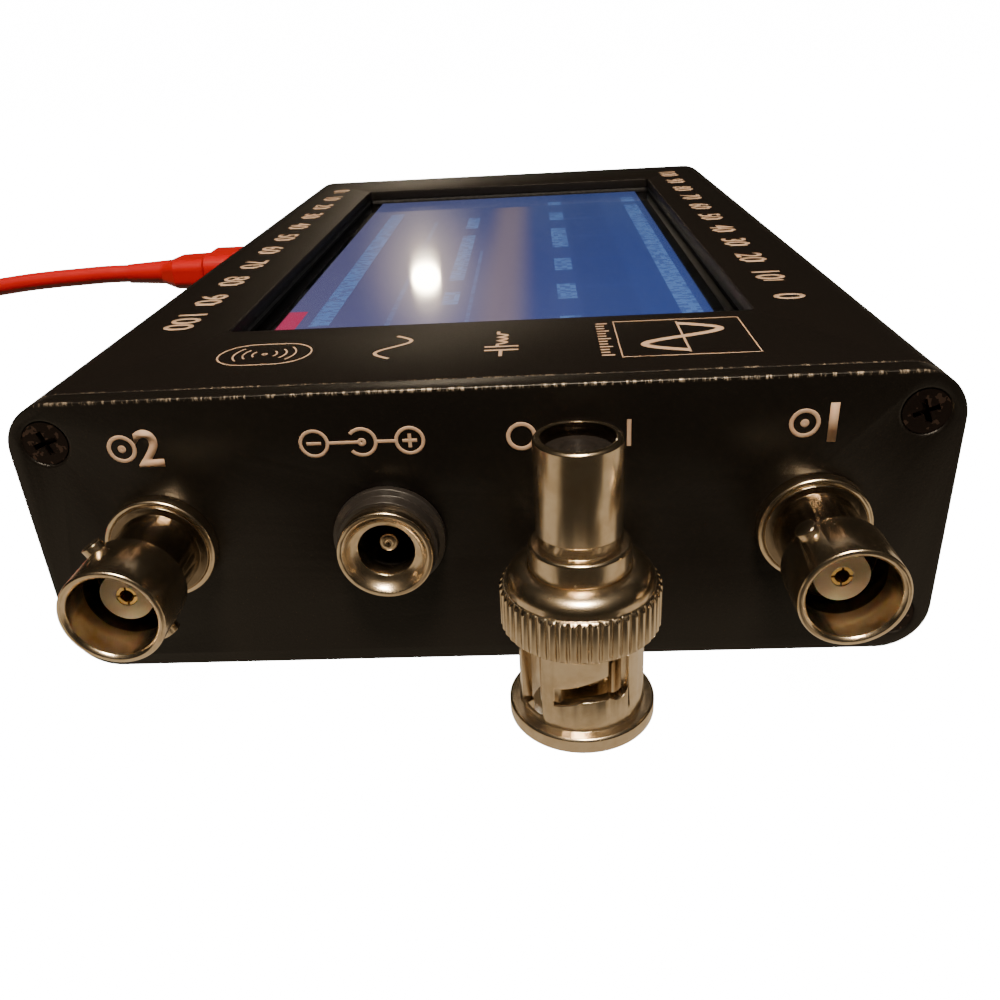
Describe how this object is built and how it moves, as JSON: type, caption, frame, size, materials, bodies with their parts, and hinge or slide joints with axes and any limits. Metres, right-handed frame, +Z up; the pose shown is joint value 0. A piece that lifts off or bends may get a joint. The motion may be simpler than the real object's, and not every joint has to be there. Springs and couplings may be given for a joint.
{
  "type": "antenna analyzer",
  "caption": "Flat black handheld two-port antenna analyzer with a touch screen, two bayonet jacks, charge jack, power button, a bayonet load plug beside it and a red data lead.",
  "frame": {"origin": "centre of the case's underside", "axes": "+X to the right seen from the connector end, +Y along the case away from the connectors, +Z up out of the screen"},
  "size_m": [0.1854, 0.174, 0.0306],
  "materials": {
    "case_black": "sand-blasted, black anodised",
    "panel_black": "fine-blasted, black anodised",
    "screw_black": "black oxide steel",
    "foam_black": "closed-cell foam",
    "screen_glass": "polished touch glass",
    "screen_panel": "lit blue display",
    "sheet_steel": "tin-plated sheet",
    "ribbon_amber": "polyimide film",
    "socket_cream": "moulded",
    "board_green": "glass-fibre board with solder mask",
    "chip_black": "moulded epoxy",
    "spacer_brass": "turned",
    "screw_steel": "zinc-plated",
    "cell_foil": "laminated foil pouch",
    "lead_red": "PVC insulation",
    "nickel": "nickel-plated, warm tone",
    "ptfe": "PTFE",
    "gold": "gold-plated",
    "plastic_black": "moulded",
    "spring_steel": "bright",
    "resistor_body": "coated ceramic",
    "cord_red": "glossy PVC jacket",
    "strap_black": "hook-and-loop strap"
  },
  "bodies": {
    "analyzer": {"top_shell": "case_black", "bottom_shell": "case_black", "connector_panel": "panel_black", "rear_panel": "panel_black", "connector_panel_screws": "screw_black", "rear_panel_screws": "screw_black", "display_gasket": "foam_black", "touch_glass": "screen_glass", "lcd_panel": "screen_panel", "lcd_tray": "sheet_steel", "display_pads": "foam_black", "display_ribbon": "ribbon_amber", "ribbon_socket": "socket_cream", "main_board": "board_green", "main_board_chips": "chip_black", "rf_board": "board_green", "rf_board_parts": "chip_black", "rf_shield_cans": "sheet_steel", "board_header": "chip_black", "board_spacers": "spacer_brass", "board_screws": "screw_steel", "battery_cell": "cell_foil", "battery_pad": "foam_black", "battery_leads": "lead_red", "battery_plug": "socket_cream", "usb_socket": "sheet_steel", "port_one_shell": "nickel", "port_one_insulator": "ptfe", "port_one_contact": "gold", "port_one_washer": "sheet_steel", "port_one_nut": "nickel", "port_two_shell": "nickel", "port_two_insulator": "ptfe", "port_two_contact": "gold", "port_two_washer": "sheet_steel", "port_two_nut": "nickel", "charge_jack_barrel": "plastic_black", "charge_jack_rim": "nickel", "charge_jack_pin": "nickel", "charge_jack_nut": "sheet_steel", "power_switch_body": "plastic_black"},
    "power_button": {"power_button": "plastic_black"},
    "load_plug": {"load_body": "nickel", "load_contact_sleeve": "nickel", "load_insulator": "ptfe", "load_centre_pin": "gold", "load_resistor": "resistor_body", "load_wave_spring": "spring_steel", "load_end_plug": "nickel"},
    "load_nut": {"load_coupling_nut": "nickel"},
    "usb_lead": {"usb_plug_shell": "sheet_steel", "usb_plug_grip": "cord_red", "usb_cord": "cord_red", "usb_cord_coil": "cord_red", "coil_strap": "strap_black", "host_plug_shell": "sheet_steel", "host_plug_grip": "cord_red"}
  },
  "joints": [
    {"name": "power_button_press", "type": "slide", "parent": "analyzer", "child": "power_button", "axis": [0, 1, 0], "range_m": [0, 0.0018], "stiffness_N_per_m": 400},
    {"name": "load_lift", "type": "slide", "parent": "analyzer", "child": "load_plug", "axis": [0, 0, 1], "range_m": [0, 0.04]},
    {"name": "load_nut_turn", "type": "hinge", "parent": "load_plug", "child": "load_nut", "pos_m": [0.0093, -0.079, 0.0125], "axis": [0, 0, 1], "continuous": true},
    {"name": "usb_plug_pull", "type": "slide", "parent": "analyzer", "child": "usb_lead", "axis": [-1, 0, 0], "range_m": [0, 0.01]}
  ]
}
